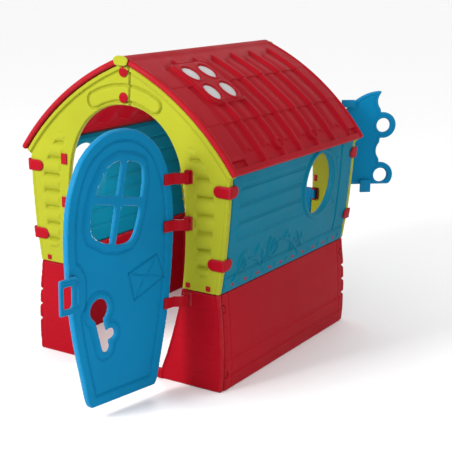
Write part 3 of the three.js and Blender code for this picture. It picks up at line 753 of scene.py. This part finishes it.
def oval(middle, across, up, steps=160):
    angles = np.linspace(0, 2 * math.pi, steps, endpoint=False)
    return np.stack([middle[0] + across * np.cos(angles), middle[1] + up * np.sin(angles)], 1)


def build_sides():
    base = slab("side_base", cad_loops("side_base_right", side_flat(BASE_CORNER)), side_place(BASE_CORNER),
                side_base_relief, plain)
    outline = cad_loops("side_wall_right", side_flat(WALL_CORNER))[0]
    window = oval((WINDOW_Y, WINDOW_Z), WINDOW_ACROSS, WINDOW_UP)
    wall = slab("side_wall", [outline, window], side_place(WALL_CORNER), side_relief, side_back, radius=.006)
    out = np.interp(PEG_Z, *WALL_CORNER.T)
    tabs = [rounded_block((.006, PEG, PEG), (out - .0005, PEG_Y + PEG_PITCH * i, PEG_Z), PEG_ROUND)
            for i in range(PEG_COUNT)]
    pegs = joined("side_pegs", tabs)
    for name, placed in SIDES:
        add_piece(f"look_side_base_{name}", placed(base, "base"), "red_plastic", "house", f"side_base_{name}")
        add_piece(f"look_side_wall_{name}", placed(wall, "wall"), "wall_blue_plastic", "house",
                  f"side_wall_{name}")
        add_piece(f"pegs_side_{name}", placed(pegs, "pegs"), "red_plastic", "house", sharp=60)


# ------------ roof
CRESTS = np.array([-.375, -.25, -.12, 0, .13, .26, .40])
STEPS = (.208, .388)                          # lower edges of the upper two rows of tiles
TILE = .12                                    # how far above its lower edge a tile begins to rise
PANES = [(y, t) for y in (-.265, -.165) for t in (.151, .253)]
PANE_ACROSS = .032
PANE_DOWN = .037
PLATFORM = ((-.326, .080), (-.104, .313), .042)   # the skylight's platform: two corners and their radius
SHEET_DEPTH = .0204                           # the sheet behind the panes, below the roof's face
PADS = [(-.12, .508), (.13, .508)]            # round pads near the eave
FIELD = -.004                                 # the roof's general face, below the rolled rim
ROLL = .010                                   # radius of the rolled rim
ROOF_ROUND = .006                             # radius of the edges, mostly filled in along the ridge
RIDGE_STRIP = .012
RIDGE_FILL = .0045


def pane_reach(points, y, t):
    """1 on the edge of a pane, less inside it."""
    return np.hypot((points[:, 0] - y) / PANE_ACROSS, (points[:, 1] - t) / PANE_DOWN)


def rounded_box_gap(points, low, high, radius):
    """How far each point lies outside a rounded rectangle."""
    middle = (np.array(low) + high) / 2
    half = (np.array(high) - low) / 2 - radius
    beyond = np.abs(points - middle) - half
    outside = np.hypot(*np.maximum(beyond, 0).T)
    return outside + np.minimum(beyond.max(1), 0) - radius


def roof_relief(points, from_edge):
    along, down = points.T
    bay = np.clip(np.searchsorted(CRESTS, along) - 1, 0, len(CRESTS) - 2)
    left = CRESTS[bay]
    width = CRESTS[bay + 1] - left
    share = np.clip((along - left) / width, 0, 1)
    in_bays = ramp(along - CRESTS[0], .01) * ramp(CRESTS[-1] - along, .01)
    from_crest = np.minimum(along - left, left + width - along)
    start = .100 - .050 * share
    lip = .494 + .034 * np.abs(2 * share - 1)
    off_crest = ramp(from_crest - .005, .016)
    started = ramp(down - start, .022)
    depth = -.0100 * (off_crest * in_bays * started)
    depth += .0045 * ramp(from_crest - .026, .034) * in_bays * started
    for step in STEPS:
        tile = ramp((down - step + TILE) / TILE, 1) * (down < step)
        depth += .0042 * in_bays * tile
        depth += .0016 * (1 - in_bays) * tile
    lower = ramp(down - lip, .004) * ramp(along + .455, .01) * ramp(.455 - along, .01)
    lower *= 1 - in_bays * (1 - off_crest)
    depth = depth * (1 - lower) - .0100 * lower
    platform_gap = rounded_box_gap(points, *PLATFORM)
    platform = ramp(-platform_gap, .006)
    depth = depth * (1 - platform) + .0036 * platform
    depth -= .0026 * groove(platform_gap + .011, .004)
    for y, t in PANES:
        reach = (pane_reach(points, y, t) - 1) * .034
        depth += .0026 * groove(reach - .006, .006)
    for y, t in PADS:
        ring = np.hypot(along - y, down - t)
        pad = ramp(.026 - ring, .006)
        depth = depth * (1 - pad) - .002 * pad
        depth += .0050 * groove(ring - .019, .0050)
    gable_rim = ROOF_Y - np.abs(along)
    rim = np.minimum(gable_rim, EAVE - down)
    roll = np.sqrt(np.clip(1 - ((rim - ROLL) / ROLL) ** 2, 0, 1)) * (-FIELD) * (gable_rim < 2 * ROLL)
    off_ridge = ramp(down - RIDGE_STRIP, .03)
    ridge = RIDGE_FILL * fillet(from_edge, ROOF_ROUND) / ROOF_ROUND * (down < RIDGE_STRIP)
    return FIELD * off_ridge + ridge + np.where(rim < .022, roll * off_ridge, depth)


def roof_back(points, from_edge):
    """The corrugation shows inside as rounded waves."""
    along, down = points.T
    wave = .5 - .5 * np.cos(2 * math.pi * (along - CRESTS[3]) / .13)
    clear_of_panes = ramp(rounded_box_gap(points, (-.37, .06), (-.06, .34), .03), .02)
    middle = ramp(.425 - np.abs(along), .02) * ramp(down - .09, .05) * ramp(.500 + .012 * wave - down, .006)
    return .009 * wave * clear_of_panes * middle


def pane_mesh(y, t):
    """One oval pane with a slightly domed face."""
    loop = oval((y, t), PANE_ACROSS - .0005, PANE_DOWN - .0005, steps=48)

    def dome(points, from_edge):
        return -.0030 + .0022 * np.clip(1 - pane_reach(points, y, t) ** 2, 0, 1)
    return slab("pane", [loop], roof_place, dome, plain, thickness=.0215, radius=.0015, rounds=0)


def pane_sheet():
    """The sheet behind the four panes."""
    loop = np.array([[-.325, .086], [-.105, .086], [-.105, .318], [-.325, .318]])
    return slab("sheet", [loop], raised(roof_place, -SHEET_DEPTH), plain, plain, thickness=.003, radius=.001)


def build_roofs():
    panel = slab("roof", cad_loops("roof_right", roof_flat), roof_place, roof_relief, roof_back,
                 radius=ROOF_ROUND)
    lens = joined("lens", [pane_mesh(y, t) for y, t in PANES] + [pane_sheet()])
    for name, placed in SIDES:
        add_piece(f"look_roof_{name}", placed(panel, "roof"), "red_plastic", "house", f"roof_{name}",
                  sharp=50)
        add_piece(f"look_skylight_{name}", placed(lens, "lens"), "clear_plastic", "house", f"skylight_{name}")


# ------------ front door
DOOR_WINDOW = np.array([[-122, 594], [-130, 625], [-121, 685], [-98, 740], [-60, 795], [-10, 812], [45, 803],
                        [82, 786], [88, 745], [80, 690], [68, 630], [45, 570], [28, 552], [-12, 548],
                        [-62, 559]]) / 1000
EMBLEM = np.array([[.026, .447], [.150, .486], [.182, .404], [.050, .353]])
EMBLEM_FLAP = np.array([[.026, .447], [.104, .424], [.150, .486]])
EMBLEM_FOLDS = (np.array([[.050, .353], [.092, .418]]), np.array([[.182, .404], [.112, .426]]))
KEYHOLE_TOP = .46
DOOR_THICK = .023
HANDLE = [np.array([[-.268, .376], [-.200, .376], [-.200, .488], [-.268, .488]]),
          np.array([[-.252, .395], [-.220, .395], [-.220, .464], [-.252, .464]])]
HANDLE_OUT = .017                             # its face beyond the face of the door
HANDLE_THICK = .0104
BRIDGE_Z = (.3835, .4800)                     # two bridges join it to the door

DOOR_TURN = leaf_frame("front_door_hinge", -DOOR_OPEN)
DOOR_Y = -WALL_Y - HINGE_OUT + DOOR_FACE
DOOR_LOOPS = cad_loops("front_door", leaf_flat(DOOR_TURN, DOOR_Y, -1))
DOOR_HOLES = DOOR_LOOPS[1:]
DOOR_KEYHOLE = min(DOOR_HOLES, key=lambda loop: loop[:, 1].min())


def door_relief(points, from_edge):
    outline = distance(points, DOOR_LOOPS[:1])
    window = distance(points, [DOOR_WINDOW])
    window = np.where(inside(points, [DOOR_WINDOW]), -window, window)
    border = -.0045 * groove(outline - .035, .0055) - .0030 * ramp(outline - .030, .008)
    frame_ring = .0050 * ramp(.024 - window, .006) - .0040 * groove(window - .0285, .005)
    keyhole = distance(points, [DOOR_KEYHOLE])
    ring = .0042 * ramp(.019 - keyhole, .005) - .0034 * groove(keyhole - .0235, .0045)
    ring *= points[:, 1] < KEYHOLE_TOP
    emblem = distance(points, [EMBLEM])
    badge = .0030 * ramp(emblem, .005) * inside(points, [EMBLEM]) - .0036 * groove(emblem, .0040)
    badge -= .0036 * groove(line_distance(points, EMBLEM_FLAP), .0040)
    folds = np.minimum(*[line_distance(points, fold) for fold in EMBLEM_FOLDS])
    badge -= .0030 * groove(folds, .0038)
    return border + frame_ring + ring + badge


def door_back(points, from_edge):
    """The door is thinner round its holes, and its back has a groove along the outline."""
    thin = -.0115 * ramp(.032 - distance(points, DOOR_HOLES), .010)
    return thin - .0020 * groove(distance(points, DOOR_LOOPS[:1]) - .018, .004)


def handle_relief(points, from_edge):
    return -.0020 * groove(from_edge - .0075, .0026)


def build_door():
    leaf = slab("door", DOOR_LOOPS, leaf_place(DOOR_TURN, DOOR_Y, -1), door_relief, door_back,
                thickness=DOOR_THICK, radius=.0050, rounds=3)
    ring = slab("handle", HANDLE, leaf_place(DOOR_TURN, DOOR_Y - HANDLE_OUT, -1), handle_relief, plain,
                thickness=HANDLE_THICK, radius=.0032)
    bridges = [rounded_block((.013, .012, .014), (-.2055, DOOR_Y - .004, z), .002, segments=2)
               for z in BRIDGE_Z]
    for bridge in bridges:
        bridge.transform(DOOR_TURN)
    mesh = joined("door", [leaf, ring, *bridges])
    add_piece("look_front_door", mesh, "blue_plastic", "front_door", "front_door")


# ------------ shutters and half-door
SHUTTER_THICK = .020
STOP_Z = .860                                 # a stop on the shutter's upper edge, a tab on its lower edge
TAB_Z = .525
HALF_DOOR_THICK = .014
HALF_HINGE_Y = .428
HALF_HINGE_Z = (.508, .310)
STRAP = .036                                  # height of the half-door's straps
LATCH_Z = .511


def shutter_relief(points, from_edge):
    return -.0024 * groove(from_edge - .013, .0034)


def build_shutters():
    for side, name in ((1, "right"), (-1, "left")):
        turn = leaf_frame(f"shutter_{name}_hinge", side * SHUTTER_OPEN)
        face_y = WALL_Y + HINGE_OUT - DOOR_FACE
        node = f"shutter_{name}"
        loops = cad_loops(node, leaf_flat(turn, face_y, 1))
        leaf = slab(node, loops, leaf_place(turn, face_y, 1), shutter_relief, shutter_relief,
                    thickness=SHUTTER_THICK, radius=.0055)
        tab_x, tab_width, seat_x = (.068, .044, .068) if side > 0 else (-.0485, .057, -.0665)
        plate_y = face_y + .0108
        seat_y = face_y + .004
        parts = [
            rounded_block((.053, .0084, .030), (side * (HINGE_X - .1085), plate_y, STOP_Z), .002),
            rounded_block((.022, .012, .028), (side * (HINGE_X - .1235), seat_y, STOP_Z), .002),
            rounded_block((tab_width, .0084, .050), (tab_x, plate_y, TAB_Z), .002),
            rounded_block((.018, .012, .013), (seat_x, seat_y, TAB_Z + .018), .002),
        ]
        for part in parts:
            part.transform(turn)
        add_piece(f"look_{node}", joined(node, [leaf, *parts]), "blue_plastic", node, node)


def half_door_relief(points, from_edge):
    top_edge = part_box("half_door")[1].z - points[:, 1]
    border = np.minimum(from_edge, top_edge - .015)
    return -.0048 * ramp(border - .042, .006) - .0020 * groove(border - .052, .004)


SOFT = .0014                                  # radius of the hardware's edges
SOFT_FROM = math.radians(32)                  # edges that turn more than this are rounded


def softened(node, body, slot):
    """A piece with a CAD node's shape and its edges rounded."""
    bm = bmesh.new()
    bm.from_mesh(frame["nodes"][node].data)
    bmesh.ops.translate(bm, vec=-HOUSE, verts=bm.verts)
    bmesh.ops.remove_doubles(bm, verts=bm.verts, dist=1e-5)
    bmesh.ops.dissolve_limit(bm, angle_limit=math.radians(1.5), verts=bm.verts, edges=bm.edges)
    corners = [edge for edge in bm.edges if len(edge.link_faces) == 2 and edge.calc_face_angle(0) > SOFT_FROM]
    bmesh.ops.bevel(bm, geom=corners, offset=SOFT, segments=3, profile=.5, affect="EDGES", clamp_overlap=True)
    bmesh.ops.triangulate(bm, faces=[face for face in bm.faces if len(face.verts) > 4])
    add_piece(f"look_{node}", to_mesh(f"look_{node}", bm), slot, body, node, sharp=60)


def build_half_door():
    turn = Matrix.Identity(4)
    loops = cad_loops("half_door", leaf_flat(turn, WALL_Y, 1))[:1]
    leaf = slab("half_door", loops, leaf_place(turn, WALL_Y, 1), half_door_relief, plain,
                thickness=HALF_DOOR_THICK, radius=.004)
    tab = rounded_block((.050, .0074, .026), (-.250, .4377, LATCH_Z), .0018)
    seat = rounded_block((.011, .014, .026), (-.2305, .4450, LATCH_Z), .0018)
    straps = []
    for z in HALF_HINGE_Z:
        arm = rounded_block((.084, .0072, STRAP), (.2205, .4442, z), .0018)
        barrel = bmesh.new()
        bmesh.ops.create_cone(barrel, cap_ends=True, segments=28, radius1=.009, radius2=.009, depth=STRAP)
        bmesh.ops.translate(barrel, vec=(HINGE_X, HALF_HINGE_Y, z), verts=barrel.verts)
        rims = [edge for edge in barrel.edges if edge.calc_face_angle(0) > 1]
        bmesh.ops.bevel(barrel, geom=rims, offset=.0012, segments=2, profile=.5, affect="EDGES")
        knuckle = rounded_block((.020, .009, STRAP), (.2555, .4360, z), .0018)
        straps += [arm, to_mesh("barrel", barrel), knuckle]
    add_piece("look_half_door", joined("half_door", [leaf, tab, seat, *straps]), "blue_plastic", "half_door",
              "half_door")


# ------------ hinges, clips and caps
CAP_RADIUS = .018
CAP_OUT = .0060                               # its edge beyond the face of the wall
CLIP_LENGTH = .060                            # on the end wall
CLIP_SIDE = .046                              # on the side wall
CLIP_HEIGHT = .040
PLATE_OUT = .0063                             # how far its parts stand out from the walls
SIDE_OUT = .0070
HOOK_OUT = .0012
HARDWARE = ("door_strap", "door_bracket", "slot_plug", "shutter_strap", "shutter_bracket",
            "half_door_bracket", "half_door_latch")


def cap_mesh(z):
    """A domed cap with a ring and a cross sunk in it."""
    def relief(points, from_edge):
        across = points[:, 0]
        up = points[:, 1] - z
        reach = np.hypot(across, up)
        dome = .0012 * np.clip(1 - (reach / CAP_RADIUS) ** 2, 0, 1)
        cross = np.maximum(groove(across, .0035), groove(up, .0035)) * (reach < .0105)
        return dome - .0026 * groove(reach - .0125, .0028) - .0024 * cross
    loop = oval((0, z), CAP_RADIUS, CAP_RADIUS, steps=40)
    return slab("cap", [loop], raised(end_place, CAP_OUT), relief, plain, thickness=.0057, radius=.0024,
                rounds=0)


def stadium(start, end, middle, height, steps=14):
    """A strip along u, square at start and round at end."""
    radius = height / 2
    way = 1 if end > start else -1
    angles = np.linspace(-math.pi / 2, math.pi / 2, steps)
    nose = np.stack([end - way * radius + way * radius * np.cos(angles), middle + radius * np.sin(angles)], 1)
    return np.vstack([[[start, middle - radius]], nose, [[start, middle + radius]]])


def clip_crown(points, from_edge):
    return .0008 * ramp(from_edge, .012)


def end_plate(corner, z, start):
    """The part of a clip on the end wall. start is how far it reaches past the corner."""
    out = np.interp(z, corner[:, 0], corner[:, 1])
    loop = stadium(out + start, out - CLIP_LENGTH, z, CLIP_HEIGHT)
    return slab("plate", [loop], raised(end_place, PLATE_OUT), clip_crown, plain, thickness=PLATE_OUT,
                radius=.0025, rounds=1)


def side_part(z):
    """The part of an upper clip on the side wall. It starts inside the part on the end wall."""
    loop = stadium(-WALL_Y - .0060, -WALL_Y + CLIP_SIDE, z + .001, CLIP_HEIGHT + .002)
    return slab("side", [loop], raised(side_place(WALL_CORNER), SIDE_OUT), clip_crown, plain,
                thickness=SIDE_OUT, radius=.0025, rounds=1)


def hook_end(z):
    """The rounded end of a base clip's hook, standing in its pocket."""
    loop = oval((-HOOK_Y, z), .0062, .0112, steps=24)
    return slab("hook", [loop], raised(side_place(BASE_CORNER), HOOK_OUT), plain, plain, thickness=.0080,
                radius=.0020, rounds=0)


def mirrored(mesh):
    """A mesh reflected left to right in the house frame."""
    copy = mesh.copy()
    copy.transform(Matrix.Diagonal((-1, 1, 1, 1)))
    copy.flip_normals()
    return copy


def build_clips():
    for level in ("top", "high", "low", "bottom"):
        low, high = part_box(f"clip_front_right_{level}")
        z = (low.z + high.z) / 2
        upper = z > WAIST_Z
        side = side_part(z) if upper else hook_end(z)
        plate = end_plate(WALL_CORNER, z, .0052) if upper else end_plate(BASE_CORNER, z, -.006)
        for across, name in ((1, "right"), (-1, "left")):
            for end, wall in ((1, "front"), (-1, "back")):
                def placed(mesh):
                    """Brings a part of the front right clip to this corner."""
                    moved = mesh.copy() if across == end else mirrored(mesh)
                    return moved if end > 0 else half_turn(moved, "clip")
                node = f"clip_{wall}_{name}_{level}"
                if upper or wall == "back":
                    colour = "red_plastic" if wall == "front" else "blue_plastic"
                    add_piece(f"look_{node}", placed(plate), colour, "house", sharp=60)
                add_piece(f"look_{node}_side", placed(side), "red_plastic", "house", sharp=60)
                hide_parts(node)


def build_hardware():
    bodies = frame["record"]["behaviour"]["bodies"]
    slots = {item["node"]: item["material_slot"] for item in frame["record"]["subparts"]}
    for body, nodes in bodies.items():
        for node in nodes:
            if node.startswith(HARDWARE):
                softened(node, body, slots[node])
    for level in ("upper", "lower"):
        low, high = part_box(f"front_cap_{level}")
        cap = cap_mesh((low.z + high.z) / 2)
        for wall, placed in (("front", same_side), ("back", half_turn)):
            node = f"{wall}_cap_{level}"
            add_piece(f"look_{node}", placed(cap, "cap"), "red_plastic", "house", node, sharp=60)


build_ends()
build_sides()
build_roofs()
build_door()
build_shutters()
build_half_door()
build_hardware()
build_clips()


# ------------ floor and light
def stage_floor():
    mesh = bpy.data.meshes.new("floor")
    reach = 60
    corners = [(-reach, -reach, 0), (reach, -reach, 0), (reach, reach, 0), (-reach, reach, 0)]
    mesh.from_pydata(corners, [], [(0, 1, 2, 3)])
    material = bpy.data.materials.new("floor")
    material.use_nodes = True
    shader = material.node_tree.nodes["Principled BSDF"]
    shader.inputs["Base Color"].default_value = (.94, .94, .94, 1)
    shader.inputs["Roughness"].default_value = .8
    mesh.materials.append(material)
    floor = bpy.data.objects.new("floor", mesh)
    show(floor)


def lamp(name, kind, place, power):
    light = bpy.data.objects.new(name, bpy.data.lights.new(name, kind))
    light.data.energy = power
    light.location = place
    show(light)
    return light


def area_light(name, place, target, size, power):
    light = lamp(name, "AREA", place, power)
    light.data.size = size
    light.rotation_euler = (Vector(target) - Vector(place)).to_track_quat("-Z", "Y").to_euler()


def studio():
    world = bpy.data.worlds.new("world")
    bpy.context.scene.world = world
    world.use_nodes = True
    background = world.node_tree.nodes["Background"]
    background.inputs["Color"].default_value = (1, 1, 1, 1)
    background.inputs["Strength"].default_value = 1.0
    area_light("key", (-1.5, -3.8, 2.7), (0, 0, .6), size=1.4, power=175)
    area_light("top", (2.2, -1.2, 3.6), (0, 0, .8), size=1.0, power=6)
    room = lamp("room", "POINT", HOUSE + Vector((-.05, -.10, .55)), power=6)
    room.data.shadow_soft_size = .12


stage_floor()
studio()

bpy.context.view_layer.update()
